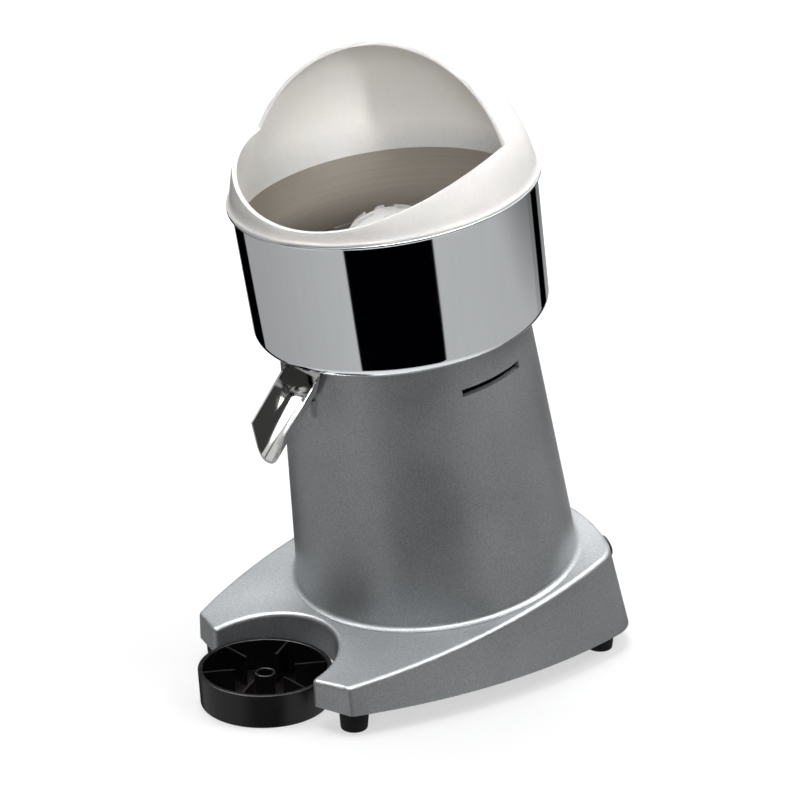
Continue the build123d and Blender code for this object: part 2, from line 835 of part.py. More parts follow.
# Open spout, welded under the bowl's floor
slope_sin = sin(radians(spout_slope))
slope_cos = cos(radians(spout_slope))
downhill = -back_vector * slope_cos - up_vector * slope_sin
spout_plane = Plane(
    origin=lean_point(0, spout_floor_back, spout_floor_up), x_dir=across_vector, z_dir=downhill
)
spout_back = -(body_radius(lug_high) + spout_back_gap)
spout_rise = 2 * spout_end_reach
back_plate_plane = Plane(
    origin=lean_point(0, spout_back - sheet, 0), x_dir=across_vector, z_dir=back_vector
)
side_slope = (spout_half_top - spout_half_bottom) / spout_depth
end_plane = Plane(origin=(0, axis_foot_y - spout_end_reach, 0), x_dir=(1, 0, 0), z_dir=(0, 1, 0))


def trough(inset, depth):
    """Outline of the spout's section, inset from its outer faces and open to a depth."""
    grow = side_slope * (depth - inset) - inset * (sqrt(1 + side_slope**2) - side_slope)
    half_low = spout_half_bottom - inset * (sqrt(1 + side_slope**2) - side_slope)
    with BuildSketch(spout_plane) as section:
        with BuildLine():
            Polyline(
                (-half_low, inset),
                (half_low, inset),
                (spout_half_bottom + grow, depth),
                (-spout_half_bottom - grow, depth),
                close=True,
            )
        make_face()
        fillet(section.vertices().group_by(Axis.Y)[0], spout_corner - inset)
    return section.sketch


with BuildPart() as spout_room:
    extrude(trough(sheet, spout_rise), amount=spout_rise, both=True)
    split(bisect_by=back_plate_plane, keep=Keep.BOTTOM)

with BuildPart() as spout_end_wall:
    extrude(trough(0.0, spout_depth), amount=spout_rise, both=True)
    with BuildSketch(spout_plane):
        with Locations((0, spout_depth + spout_rise / 2)):
            Rectangle(2 * spout_half_top, spout_rise)
    extrude(amount=spout_rise, both=True)
    split(bisect_by=back_plate_plane, keep=Keep.TOP)
    split(bisect_by=back_plate_plane.offset(sheet), keep=Keep.BOTTOM)

with BuildPart() as spout:
    extrude(trough(0.0, spout_depth), amount=spout_rise, both=True)
    split(bisect_by=back_plate_plane.offset(sheet), keep=Keep.BOTTOM)
    split(bisect_by=end_plane, keep=Keep.TOP)
    add(spout_end_wall.part)
    split(bisect_by=level(body_top), keep=Keep.BOTTOM)
    add(spout_room.part, mode=Mode.SUBTRACT)
save(spout, "spout")

# Strainer: a slotted floor on a notched wall, with a collar round the bowl's sleeve
collar_inner = sleeve_outer + strainer_collar_gap
with BuildPart() as strainer:
    tube(bowl_floor, strainer_high, strainer_radius, strainer_radius - sheet)
    tube(strainer_high - strainer_bead, strainer_high, strainer_radius, strainer_radius - 2 * sheet)
    tube(strainer_floor, strainer_floor + sheet, strainer_radius, collar_inner)
    tube(strainer_floor, strainer_collar_high, collar_inner + sheet, collar_inner)
    with BuildSketch(level(strainer_floor)):
        for slot_ring in strainer_slot_rings:
            with PolarLocations(slot_ring, strainer_slot_count):
                SlotOverall(strainer_slot_length, strainer_slot_width)
    extrude(amount=sheet, mode=Mode.SUBTRACT)
    with BuildSketch(level(bowl_floor)):
        with PolarLocations(strainer_radius, strainer_notch_count):
            Rectangle(strainer_notch_depth, strainer_notch_width)
    extrude(amount=strainer_notch_height, mode=Mode.SUBTRACT)
save(strainer, "strainer")

# Reamer with long and short ribs by turns, and an insert that takes the shaft and its cross pin
reamer_apex = reamer_centre_up + reamer_radius
rib_radius = reamer_radius + reamer_rib_height
room_radius = reamer_radius - reamer_wall
reamer_hub_top = reamer_centre_up + sqrt(room_radius**2 - reamer_hub_radius**2)
with BuildPart() as reamer_ribs:
    with BuildSketch(section_plane):
        with BuildLine():
            Polyline((0, reamer_low), (rib_radius, reamer_low), (rib_radius, reamer_centre_up))
            RadiusArc((rib_radius, reamer_centre_up), (0, reamer_centre_up + rib_radius), -rib_radius)
            Line((0, reamer_centre_up + rib_radius), (0, reamer_low))
        make_face()
    revolve(axis=body_axis)
    with BuildSketch(level(reamer_low)):
        for rib_inner, rib_turn in (
            (reamer_long_rib_inner, reamer_rib_turn),
            (reamer_short_rib_inner, reamer_rib_turn + 180 / reamer_rib_pairs),
        ):
            with PolarLocations((rib_radius + rib_inner) / 2, reamer_rib_pairs, rib_turn):
                Rectangle(rib_radius - rib_inner, reamer_rib_width)
    extrude(amount=2 * rib_radius, mode=Mode.INTERSECT)
    tube(reamer_low, reamer_centre_up, reamer_radius - reamer_wall / 2, mode=Mode.SUBTRACT)

with BuildPart() as reamer:
    with BuildSketch(section_plane):
        with BuildLine():
            Polyline(
                (0, reamer_centre_up),
                (room_radius, reamer_centre_up),
                (room_radius, reamer_low),
                (reamer_radius, reamer_low),
                (reamer_radius, reamer_centre_up),
            )
            RadiusArc((reamer_radius, reamer_centre_up), (0, reamer_apex), -reamer_radius)
            Line((0, reamer_apex), (0, reamer_centre_up))
        make_face()
    revolve(axis=body_axis)
    add(reamer_ribs.part)
    with BuildSketch(section_plane):
        with BuildLine():
            Polyline(
                (reamer_hub_radius, reamer_hub_low),
                (reamer_hub_radius, reamer_low),
                (room_radius, reamer_low),
            )
            Line((room_radius, reamer_low), (room_radius, reamer_centre_up))
            RadiusArc((room_radius, reamer_centre_up), (reamer_hub_radius, reamer_hub_top), -room_radius)
            Line((reamer_hub_radius, reamer_hub_top), (reamer_hub_radius, reamer_hub_low))
        make_face()
    revolve(axis=body_axis, mode=Mode.SUBTRACT)
    tube(reamer_low, reamer_hub_low, reamer_hub_radius, mode=Mode.SUBTRACT)
    tube(reamer_low, insert_high, insert_radius + seat_fit, mode=Mode.SUBTRACT)
save(reamer, "reamer")

slot_high = pin_up + pin_radius + pin_slot_gap
with BuildPart() as reamer_insert:
    tube(insert_low, insert_high, insert_radius)
    tube(insert_low, shaft_high + pin_slot_gap, shaft_radius + running_fit, mode=Mode.SUBTRACT)
    with BuildSketch(level(insert_low)):
        Rectangle(2 * insert_radius, 2 * (pin_radius + pin_slot_gap))
    extrude(amount=slot_high - insert_low, mode=Mode.SUBTRACT)
save(reamer_insert, "reamer_insert")

# Moulded splash guard that stands on the bowl's rim, open towards its own front
guard_front = across_vector * sin(radians(guard_turn)) - back_vector * cos(radians(guard_turn))
guard_side = across_vector * cos(radians(guard_turn)) + back_vector * sin(radians(guard_turn))
guard_centre = rim_up - guard_centre_drop
guard_inner = guard_radius - guard_wall
collar_outer = bowl_top_radius - sheet - guard_collar_gap
guard_foot_outer = sqrt(guard_radius**2 - guard_centre_drop**2)
guard_foot_inner = sqrt(guard_inner**2 - guard_centre_drop**2)
guard_flare_radius = sqrt(guard_radius**2 - (guard_centre_drop + guard_flare_height) ** 2)
lip_rise = guard_lip_side - guard_lip_front
lip_radius = (guard_lip_span**2 + lip_rise**2) / (2 * lip_rise)
lip_plane = Plane(origin=lean_point(0, 0, rim_up), x_dir=guard_side, z_dir=guard_front)
hood_plane = Plane(
    origin=lean_point(0, 0, rim_up) + guard_front * guard_hood_forward,
    x_dir=guard_side,
    z_dir=guard_front + up_vector * guard_hood_rake,
)
with BuildPart() as guard_opening:
    with BuildSketch(lip_plane):
        with Locations((0, guard_lip_front + lip_radius)):
            Circle(lip_radius)
    extrude(amount=guard_radius + guard_wall, both=True)
    split(bisect_by=hood_plane, keep=Keep.TOP)

with BuildPart() as splash_guard:
    with BuildSketch(section_plane):
        with BuildLine():
            RadiusArc((guard_foot_outer, rim_up), (0, guard_centre + guard_radius), -guard_radius)
            Line((0, guard_centre + guard_radius), (0, guard_centre + guard_inner))
            RadiusArc((0, guard_centre + guard_inner), (guard_foot_inner, rim_up), guard_inner)
            Line((guard_foot_inner, rim_up), (guard_foot_outer, rim_up))
        make_face()
    revolve(axis=body_axis)
    with BuildSketch(section_plane):
        with BuildLine():
            Polyline(
                (guard_flare_radius, rim_up + guard_flare_height),
                (guard_foot_inner, rim_up + guard_flare_height),
                (guard_foot_inner, rim_up),
                (rim_radius, rim_up),
                (rim_radius, rim_up + guard_flange_height),
            )
            RadiusArc(
                (rim_radius, rim_up + guard_flange_height),
                (guard_flare_radius, rim_up + guard_flare_height),
                guard_flare_height,
            )
        make_face()
    revolve(axis=body_axis)
    turned(
        (collar_outer - guard_collar_wall, rim_up - guard_collar_depth),
        (collar_outer, rim_up - guard_collar_depth),
        (collar_outer, rim_up + guard_wall),
        (collar_outer - guard_collar_wall, rim_up + guard_wall),
    )
    add(guard_opening.part, mode=Mode.SUBTRACT)
save(splash_guard, "splash_guard")

# Rocker switch in the rear wall
pivot_plane = switch_plane.offset(switch_flange_thickness - rocker_crown)
pivot_across = Plane(origin=pivot_plane.origin, x_dir=pivot_plane.y_dir, z_dir=pivot_plane.x_dir)
room_half_width = switch_width / 2 - switch_wall
room_half_height = switch_height / 2 - switch_wall
pivot_reach = room_half_width + rocker_pivot_reach
with BuildPart() as switch_housing:
    with BuildSketch(switch_plane):
        Rectangle(switch_flange_width, switch_flange_height)
    extrude(amount=switch_flange_thickness)
    fillet(switch_housing.edges().filter_by(Axis(switch_plane.origin, switch_plane.z_dir)), switch_edge)
    with BuildSketch(switch_plane):
        Rectangle(switch_width, switch_height)
    extrude(amount=-switch_depth)
    with BuildSketch(switch_plane.offset(switch_flange_thickness)):
        Rectangle(2 * room_half_width, 2 * room_half_height)
    extrude(amount=-(switch_flange_thickness + switch_depth - switch_back), mode=Mode.SUBTRACT)
    with BuildSketch(pivot_across):
        Circle(rocker_pivot_radius + running_fit)
    extrude(amount=pivot_reach + seat_fit, both=True, mode=Mode.SUBTRACT)
save(switch_housing, "switch_housing")

with BuildPart() as switch_tabs:
    with BuildSketch(switch_plane.offset(-switch_depth)):
        with GridLocations(switch_width / 2, switch_height / 2, 2, 2):
            Rectangle(tab_thickness, tab_width)
    extrude(amount=-tab_length)
save(switch_tabs, "switch_tabs")

rocker_half = room_half_height - rocker_gap - rocker_crown * sin(radians(2 * rocker_tilt))
rocker_tip = rocker_crown + rocker_half * tan(radians(rocker_tilt))
rocker_up = pivot_plane.y_dir * cos(radians(rocker_tilt)) + pivot_plane.z_dir * sin(radians(rocker_tilt))
rocker_section = Plane(origin=pivot_plane.origin, x_dir=rocker_up, z_dir=pivot_plane.x_dir)
with BuildPart() as switch_rocker:
    with BuildSketch(rocker_section):
        with BuildLine():
            Polyline(
                (-rocker_half, rocker_tip),
                (0, rocker_crown),
                (rocker_half, rocker_tip),
                (rocker_half, 0),
                (rocker_keel, -rocker_depth),
                (-rocker_keel, -rocker_depth),
                (-rocker_half, 0),
                close=True,
            )
        make_face()
    extrude(amount=room_half_width - rocker_gap, both=True)
    with BuildSketch(rocker_section):
        Circle(rocker_pivot_radius)
    extrude(amount=pivot_reach, both=True)
save(switch_rocker, "switch_rocker")

# Cable gland through the rear wall, with its nut inside
gland_top = gland_collar + gland_dome
with BuildPart() as cable_gland:
    with BuildSketch(gland_plane):
        RegularPolygon(gland_flats / 2, 6, major_radius=False)
    extrude(amount=gland_collar)
    with BuildSketch(gland_plane.offset(gland_collar)):
        Circle(gland_dome_radius)
    extrude(amount=gland_dome)
    fillet(cable_gland.faces().sort_by(Axis(gland_plane.origin, gland_plane.z_dir))[-1].edges(), gland_edge)
    with BuildSketch(gland_plane):
        Circle(gland_thread_radius)
    extrude(amount=-gland_thread_length)
    with BuildSketch(gland_plane.offset(-gland_thread_length)):
        Circle(gland_bore_radius)
    extrude(amount=gland_thread_length + gland_top, mode=Mode.SUBTRACT)
save(cable_gland, "cable_gland")

with BuildPart() as gland_nut:
    with BuildSketch(gland_plane.offset(-gland_panel)):
        RegularPolygon(gland_nut_flats / 2, 6, major_radius=False)
        Circle(gland_thread_radius + thread_fit, mode=Mode.SUBTRACT)
    extrude(amount=-gland_nut_height)
save(gland_nut, "gland_nut")

# Run capacitor under a strap on the underside plate
capacitor_up = plate_top + capacitor_radius + seat_fit
capacitor_plane = Plane(origin=(capacitor_x, capacitor_y, capacitor_up), x_dir=(0, 1, 0), z_dir=(1, 0, 0))
with BuildPart() as capacitor:
    with BuildSketch(capacitor_plane):
        Circle(capacitor_radius)
    extrude(amount=capacitor_length / 2, both=True)
    fillet(capacitor.edges().filter_by(GeomType.CIRCLE), capacitor_edge)
    with BuildSketch(capacitor_plane.offset(capacitor_length / 2)):
        with GridLocations(capacitor_radius, 0, 2, 1):
            Rectangle(tab_thickness, tab_width)
    extrude(amount=tab_length)
save(capacitor, "capacitor")

clip_outer = clip_arch_radius + clip_band_thickness
strap_drop = plate_top - capacitor_up
with BuildPart() as capacitor_clip:
    with BuildSketch(capacitor_plane):
        Circle(clip_outer)
        with Locations((0, strap_drop / 2)):
            Rectangle(2 * clip_outer, -strap_drop)
        with Locations((0, strap_drop + clip_band_thickness / 2)):
            Rectangle(2 * (clip_outer + clip_foot_length), clip_band_thickness)
        Circle(clip_arch_radius, mode=Mode.SUBTRACT)
        with Locations((0, strap_drop / 2)):
            Rectangle(2 * clip_arch_radius, -strap_drop, mode=Mode.SUBTRACT)
        with Locations((0, strap_drop - clip_outer)):
            Rectangle(4 * clip_outer, 2 * clip_outer, mode=Mode.SUBTRACT)
    extrude(amount=clip_band_width / 2, both=True)
    with BuildSketch(table.offset(plate_top)):
        with Locations(*clip_screw_places):
            Circle(screw_radius + hole_clearance)
    extrude(amount=clip_band_thickness, mode=Mode.SUBTRACT)
save(capacitor_clip, "capacitor_clip")


def plate_screw(places, seat):
    """Screws driven from above through a seat of some thickness and down through the plate."""
    with BuildSketch(table.offset(foot_height)) as shanks:
        with Locations(*places):
            Circle(screw_radius)
    extrude(shanks.sketch, amount=plate_thickness + seat)
    with BuildSketch(table.offset(plate_top + seat)) as heads:
        with Locations(*places):
            Circle(screw_head_radius)
    extrude(heads.sketch, amount=screw_head_height)
    with BuildSketch(table.offset(plate_top + seat + screw_head_height)) as drives:
        with Locations(*places):
            Rectangle(2 * screw_head_radius, screw_drive_width)
    extrude(drives.sketch, amount=-screw_drive_depth, mode=Mode.SUBTRACT)


with BuildPart() as clip_screws:
    plate_screw(clip_screw_places, clip_band_thickness)
save(clip_screws, "clip_screws")

# Terminal block with its clamping screws
pole_places = [
    (block_x + (n - (block_pole_count - 1) / 2) * block_pole_pitch, block_y + side * block_width / 4)
    for n in range(block_pole_count)
    for side in (-1, 1)
]
block_top = plate_top + block_height
with BuildPart() as terminal_block:
    with BuildSketch(table.offset(plate_top)):
        with Locations((block_x, block_y)):
            Rectangle(block_length, block_width)
    extrude(amount=block_height)
    with BuildSketch(table.offset(plate_top)):
        with Locations((block_x, block_y)):
            Rectangle(block_length + 2 * block_tab_length, 2 * screw_head_radius + block_tab_thickness)
    extrude(amount=block_tab_thickness)
    with BuildSketch(table.offset(block_top)):
        with Locations(*pole_places):
            Circle(block_screw_radius)
    extrude(amount=-block_well, mode=Mode.SUBTRACT)
    wire_place = (block_x, block_y, plate_top + block_wire_up)
    with BuildSketch(Plane(origin=wire_place, x_dir=(1, 0, 0), z_dir=(0, 1, 0))):
        with GridLocations(block_pole_pitch, 0, block_pole_count, 1):
            Circle(block_wire_radius)
    extrude(amount=block_width, both=True, mode=Mode.SUBTRACT)
    with BuildSketch(table.offset(plate_top)):
        with Locations(*block_screw_places):
            Circle(screw_radius + hole_clearance)
    extrude(amount=block_tab_thickness, mode=Mode.SUBTRACT)
save(terminal_block, "terminal_block")

with BuildPart() as terminal_screws:
    with BuildSketch(table.offset(block_top - block_well)):
        with Locations(*pole_places):
            Circle(block_screw_radius - seat_fit)
    extrude(amount=block_screw_depth)
save(terminal_screws, "terminal_screws")

with BuildPart() as block_screws:
    plate_screw(block_screw_places, block_tab_thickness)
save(block_screws, "block_screws")

with BuildPart() as earth_screw:
    plate_screw([(earth_x, earth_y)], earth_washer)
    with BuildSketch(table.offset(plate_top)):
        with Locations((earth_x, earth_y)):
            Circle(screw_head_radius + earth_washer)
    extrude(amount=earth_washer)
save(earth_screw, "earth_screw")
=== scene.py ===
import math

import bmesh
import bpy
from mathutils import Matrix, Vector


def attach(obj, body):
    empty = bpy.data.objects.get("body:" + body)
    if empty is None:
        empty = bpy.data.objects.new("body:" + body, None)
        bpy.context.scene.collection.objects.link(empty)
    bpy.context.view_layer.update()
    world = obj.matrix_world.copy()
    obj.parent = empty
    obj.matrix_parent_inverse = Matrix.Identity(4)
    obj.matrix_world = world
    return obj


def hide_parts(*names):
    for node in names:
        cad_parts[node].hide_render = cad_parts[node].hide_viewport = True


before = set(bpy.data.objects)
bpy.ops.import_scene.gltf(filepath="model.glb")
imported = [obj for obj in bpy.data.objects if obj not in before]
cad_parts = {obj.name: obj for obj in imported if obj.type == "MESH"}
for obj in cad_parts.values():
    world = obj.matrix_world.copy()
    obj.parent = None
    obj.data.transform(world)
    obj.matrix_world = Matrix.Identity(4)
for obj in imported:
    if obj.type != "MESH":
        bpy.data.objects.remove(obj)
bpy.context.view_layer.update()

# Looks of the citrus press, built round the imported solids. The spout faces -Y and Z is up.
# The scene is in metres. Sizes of pieces are named in millimetres and angles in degrees.

MM = 0.001

# Leaning axis of the body, the motor and the bowl
LEAN = math.radians(10.0)
AXIS_BACK = 44.5
AXIS_FOOT = Vector((0.0, AXIS_BACK * MM, 0.0))
ACROSS = Vector((1.0, 0.0, 0.0))
BACK = Vector((0.0, math.cos(LEAN), math.sin(LEAN)))
UP = Vector((0.0, -math.sin(LEAN), math.cos(LEAN)))

# Camera, fitted to the photograph's outlines; the place is in metres
CAMERA_PLACE = Vector((1.2228, -1.0855, 0.7761))
CAMERA_AZIMUTH = math.radians(48.43)
CAMERA_ELEVATION = math.radians(19.83)
CAMERA_LENS = 114.08
SENSOR_WIDTH = 36.0

scene = bpy.context.scene
scene.view_settings.view_transform = "Standard"


def lean_point(across, back, up):
    """A place in the leaning frame, given in millimetres."""
    return AXIS_FOOT + (ACROSS * across + BACK * back + UP * up) * MM


def add_object(name, data):
    """An object in the scene, with its mesh, camera or lamp."""
    thing = bpy.data.objects.new(name, data)
    scene.collection.objects.link(thing)
    return thing


def place_camera():
    """The photograph's camera, with its width across the picture and no roll."""
    back = Vector((
        math.sin(CAMERA_AZIMUTH) * math.cos(CAMERA_ELEVATION),
        -math.cos(CAMERA_AZIMUTH) * math.cos(CAMERA_ELEVATION),
        math.sin(CAMERA_ELEVATION),
    ))
    right = Vector((math.cos(CAMERA_AZIMUTH), math.sin(CAMERA_AZIMUTH), 0.0))
    over = back.cross(right)
    data = bpy.data.cameras.new("photo_camera")
    data.lens = CAMERA_LENS
    data.sensor_width = SENSOR_WIDTH
    data.sensor_fit = "HORIZONTAL"
    camera = add_object("photo_camera", data)
    turn = Matrix((right, over, back)).transposed().to_4x4()
    camera.matrix_world = Matrix.Translation(CAMERA_PLACE) @ turn
    scene.camera = camera


# Small helpers for node trees
WHITE = (1, 1, 1, 1)
MIX_FIRST = 6
MIX_SECOND = 7
MIX_RESULT = 2


def add(tree, kind, **values):
    """A node with its properties set."""
    node = tree.nodes.new(kind)
    for name, value in values.items():
        setattr(node, name, value)
    return node


def feed(tree, socket, value):
    """Links a socket, or sets its value."""
    if isinstance(value, bpy.types.NodeSocket):
        tree.links.new(value, socket)
    else:
        socket.default_value = value


def calc(tree, operation, *values):
    """A math node's result."""
    node = add(tree, "ShaderNodeMath", operation=operation)
    for socket, value in zip(node.inputs, values):
        feed(tree, socket, value)
    return node.outputs[0]


def blend(tree, share, first, second):
    """A value between two values."""
    return calc(
        tree, "ADD",
        calc(tree, "MULTIPLY", first, calc(tree, "SUBTRACT", 1.0, share)),
        calc(tree, "MULTIPLY", second, share),
    )


def spread(tree, value, span, result, kind="LINEAR"):
    """A value mapped from one span, low and high, to another."""
    node = add(tree, "ShaderNodeMapRange", interpolation_type=kind)
    feed(tree, node.inputs["Value"], value)
    for label, ends in (("From", span), ("To", result)):
        feed(tree, node.inputs[label + " Min"], ends[0])
        feed(tree, node.inputs[label + " Max"], ends[1])
    return node.outputs[0]


def tint(tree, share, first, second):
    """A colour between two colours."""
    node = add(tree, "ShaderNodeMix", data_type="RGBA")
    feed(tree, node.inputs[0], share)
    feed(tree, node.inputs[MIX_FIRST], first)
    feed(tree, node.inputs[MIX_SECOND], second)
    return node.outputs[MIX_RESULT]


def colour(red, green, blue):
    """A colour written in display values of 0 to 255."""
    def linear(part):
        part /= 255.0
        return part / 12.92 if part <= 0.04045 else ((part + 0.055) / 1.055) ** 2.4

    return (linear(red), linear(green), linear(blue), 1.0)


# Shared effects, on scales in grains or lines per metre
BRUSH_RADIUS = 0.1


def new_group(name, inputs, outputs):
    """An empty shader group with named float sockets."""
    group = bpy.data.node_groups.new(name, "ShaderNodeTree")
    for label, value in inputs:
        socket = group.interface.new_socket(label, in_out="INPUT", socket_type="NodeSocketFloat")
        socket.default_value = value
    for label in outputs:
        group.interface.new_socket(label, in_out="OUTPUT", socket_type="NodeSocketFloat")
    return group, group.nodes.new("NodeGroupInput"), group.nodes.new("NodeGroupOutput")


def noise(group, place, scale, detail):
    """A noise texture's value."""
    node = add(group, "ShaderNodeTexNoise")
    feed(group, node.inputs["Vector"], place)
    feed(group, node.inputs["Scale"], scale)
    feed(group, node.inputs["Detail"], detail)
    return node.outputs["Fac"]


def make_grain():
    """Fine even grain with a slow, cloudy variation."""
    group, source, target = new_group(
        "fine_grain", (("Scale", 900.0), ("Cloud Scale", 12.0)), ("Grain", "Cloud")
    )
    place = add(group, "ShaderNodeTexCoord").outputs["Object"]
    for scale, detail, label in (("Scale", 3.0, "Grain"), ("Cloud Scale", 4.0, "Cloud")):
        feed(group, target.inputs[label], noise(group, place, source.outputs[scale], detail))
    return group


def make_brushing():
    """Brushed lines that run along the leaning axis or round it."""
    group, source, target = new_group(
        "brushed_lines", (("Lines", 500.0), ("Along", 14.0), ("Around", 0.0)), ("Lines", "Broad")
    )
    place = add(group, "ShaderNodeTexCoord").outputs["Object"]
    shift = add(group, "ShaderNodeVectorMath", operation="SUBTRACT")
    feed(group, shift.inputs[0], place)
    shift.inputs[1].default_value = AXIS_FOOT
    turned = add(group, "ShaderNodeVectorRotate", rotation_type="X_AXIS")
    feed(group, turned.inputs["Vector"], shift.outputs[0])
    turned.inputs["Angle"].default_value = -LEAN
    parts = add(group, "ShaderNodeSeparateXYZ")
    feed(group, parts.inputs[0], turned.outputs[0])
    angle = calc(group, "ARCTAN2", parts.outputs[0], parts.outputs[1])
    arc = calc(group, "MULTIPLY", angle, BRUSH_RADIUS)
    height = parts.outputs[2]
    fine = source.outputs["Lines"]
    slow = source.outputs["Along"]
    swap = source.outputs["Around"]
    joined = add(group, "ShaderNodeCombineXYZ")
    feed(group, joined.inputs[0], calc(group, "MULTIPLY", arc, blend(group, swap, fine, slow)))
    feed(group, joined.inputs[1], calc(group, "MULTIPLY", height, blend(group, swap, slow, fine)))
    for label, scale, detail in (("Lines", 1.0, 5.0), ("Broad", 0.06, 2.0)):
        feed(group, target.inputs[label], noise(group, joined.outputs[0], scale, detail))
    return group


GRAIN = make_grain()
BRUSHING = make_brushing()

# Finishes; heights of relief are in metres
NOISE_SPAN = (0.3, 0.7)
GRAIN_SHARE = 0.6
GRAIN_HEIGHT = 0.0004
LINES_SHARE = 0.5
LINES_HEIGHT = 0.0002


def use_group(tree, group, **values):
    """Places a shared effect in a material with its own values."""
    node = add(tree, "ShaderNodeGroup", node_tree=group)
    for name, value in values.items():
        node.inputs[name].default_value = value
    return node.outputs


def new_finish(name, metallic, roughness, **values):
    """A material with its main shader, ready for detail."""
    material = bpy.data.materials.new(name)
    material.use_nodes = True
    tree = material.node_tree
    shader = tree.nodes["Principled BSDF"]
    shader.inputs["Metallic"].default_value = metallic
    shader.inputs["Roughness"].default_value = roughness
    for label, value in values.items():
        shader.inputs[label.replace("_", " ")].default_value = value
    return material, tree, shader


def shade(tree, shader, first, second, first_share, dark, light):
    """Base colour between two colours, by a mix of two effects."""
    mixed = calc(
        tree, "ADD",
        calc(tree, "MULTIPLY", first, first_share),
        calc(tree, "MULTIPLY", second, 1.0 - first_share),
    )
    share = spread(tree, mixed, NOISE_SPAN, (0.0, 1.0))
    feed(tree, shader.inputs["Base Color"], tint(tree, share, dark, light))


def roughen(tree, shader, effect, roughness, swing):
    """Roughness that follows an effect, by swing each way."""
    result = (roughness - swing, roughness + swing)
    feed(tree, shader.inputs["Roughness"], spread(tree, effect, NOISE_SPAN, result))


def bump(tree, shader, height, strength, distance):
    """Surface relief from a height value."""
    node = add(tree, "ShaderNodeBump")
    node.inputs["Strength"].default_value = strength
    node.inputs["Distance"].default_value = distance
    feed(tree, node.inputs["Height"], height)
    feed(tree, shader.inputs["Normal"], node.outputs[0])


def grained(name, dark, light, roughness, scale, relief, metallic=0.0, swing=0.06, **values):
    """Paint, rubber or plastic with fine grain and a slight cloudiness."""
    material, tree, shader = new_finish(name, metallic, roughness, **values)
    effect = use_group(tree, GRAIN, Scale=scale)
    shade(tree, shader, effect["Grain"], effect["Cloud"], GRAIN_SHARE, dark, light)
    roughen(tree, shader, effect["Cloud"], roughness, swing)
    bump(tree, shader, effect["Grain"], relief, GRAIN_HEIGHT)
    return material


def brushed(name, dark, light, roughness, lines, relief, around=1.0, metallic=1.0, swing=0.05):
    """Metal with brushed lines, round the leaning axis or, with around at 0, along it."""
    material, tree, shader = new_finish(name, metallic, roughness)
    effect = use_group(tree, BRUSHING, Lines=lines, Around=around)
    shade(tree, shader, effect["Lines"], effect["Broad"], LINES_SHARE, dark, light)
    roughen(tree, shader, effect["Lines"], roughness, swing)
    bump(tree, shader, effect["Lines"], relief, LINES_HEIGHT)
    return material


body_paint = grained(
    "body_paint", colour(146, 149, 151), colour(194, 197, 199),
    roughness=0.42, scale=900.0, relief=0.26, metallic=0.6,
)
plate_paint = grained(
    "plate_paint", colour(120, 122, 124), colour(140, 142, 144),
    roughness=0.5, scale=900.0, relief=0.1, metallic=0.6,
)
bowl_polish = brushed(
    "bowl_polish", colour(226, 229, 232), colour(232, 235, 237),
    roughness=0.045, lines=160.0, relief=0.0, around=0.0, swing=0.01,
)
bowl_brushed = brushed(
    "bowl_brushed", colour(178, 170, 160), colour(202, 194, 184),
    roughness=0.46, lines=420.0, relief=0.06, metallic=0.5, swing=0.06,
)
spout_polish = brushed(
    "spout_polish", colour(206, 206, 204), colour(220, 220, 218),
    roughness=0.09, lines=160.0, relief=0.0, around=0.0, swing=0.02,
)
strainer_steel = brushed(
    "strainer_steel", colour(185, 184, 182), colour(206, 205, 203),
    roughness=0.28, lines=300.0, relief=0.1, swing=0.06,
)
guard_plastic = grained(
    "guard_plastic", colour(232, 229, 225), colour(238, 236, 233),
    roughness=0.34, scale=500.0, relief=0.02, IOR=1.49, Specular_IOR_Level=0.22,
    Subsurface_Weight=0.5, Subsurface_Scale=0.006, Subsurface_Radius=(1.0, 0.96, 0.9),
)
reamer_plastic = grained(
    "reamer_plastic", colour(236, 236, 234), colour(243, 243, 242),
    roughness=0.33, scale=500.0, relief=0.03, IOR=1.49,
)
insert_plastic = grained(
    "insert_plastic", colour(196, 196, 192), colour(210, 210, 206),
    roughness=0.5, scale=500.0, relief=0.06,
)
tray_plastic = grained(
    "tray_plastic", colour(14, 12, 14), colour(22, 19, 21),
    roughness=0.32, scale=700.0, relief=0.06, IOR=1.45,
)
foot_rubber = grained(
    "foot_rubber", colour(10, 10, 12), colour(19, 19, 21),
    roughness=0.66, scale=900.0, relief=0.25, IOR=1.35,
)
switch_plastic = grained(
    "switch_plastic", colour(20, 20, 21), colour(27, 27, 28),
    roughness=0.35, scale=900.0, relief=0.08,
)
gland_plastic = grained(
    "gland_plastic", colour(24, 24, 25), colour(33, 33, 34),
    roughness=0.5, scale=800.0, relief=0.15,
)
capacitor_plastic = grained(
    "capacitor_plastic", colour(200, 200, 196), colour(214, 214, 210),
    roughness=0.45, scale=500.0, relief=0.06,
)
block_plastic = grained(
    "block_plastic", colour(206, 202, 188), colour(218, 214, 202),
    roughness=0.5, scale=500.0, relief=0.08,
)
fan_plastic = grained(
    "fan_plastic", colour(34, 34, 35), colour(44, 44, 45),
    roughness=0.5, scale=700.0, relief=0.1,
)
screw_steel = brushed(
    "screw_steel", colour(168, 168, 168), colour(196, 196, 196),
    roughness=0.3, lines=700.0, relief=0.1,
)
bearing_steel = brushed(
    "bearing_steel", colour(190, 190, 191), colour(214, 214, 215),
    roughness=0.2, lines=900.0, relief=0.06,
)
shield_alloy = grained(
    "shield_alloy", colour(160, 162, 164), colour(188, 190, 192),
    roughness=0.45, scale=500.0, relief=0.3, metallic=1.0,
)
core_steel = brushed(
    "core_steel", colour(104, 104, 106), colour(150, 150, 152),
    roughness=0.42, lines=1600.0, relief=0.5,
)
winding_copper = brushed(
    "winding_copper", colour(150, 78, 40), colour(192, 112, 66),
    roughness=0.35, lines=700.0, relief=0.9,
)
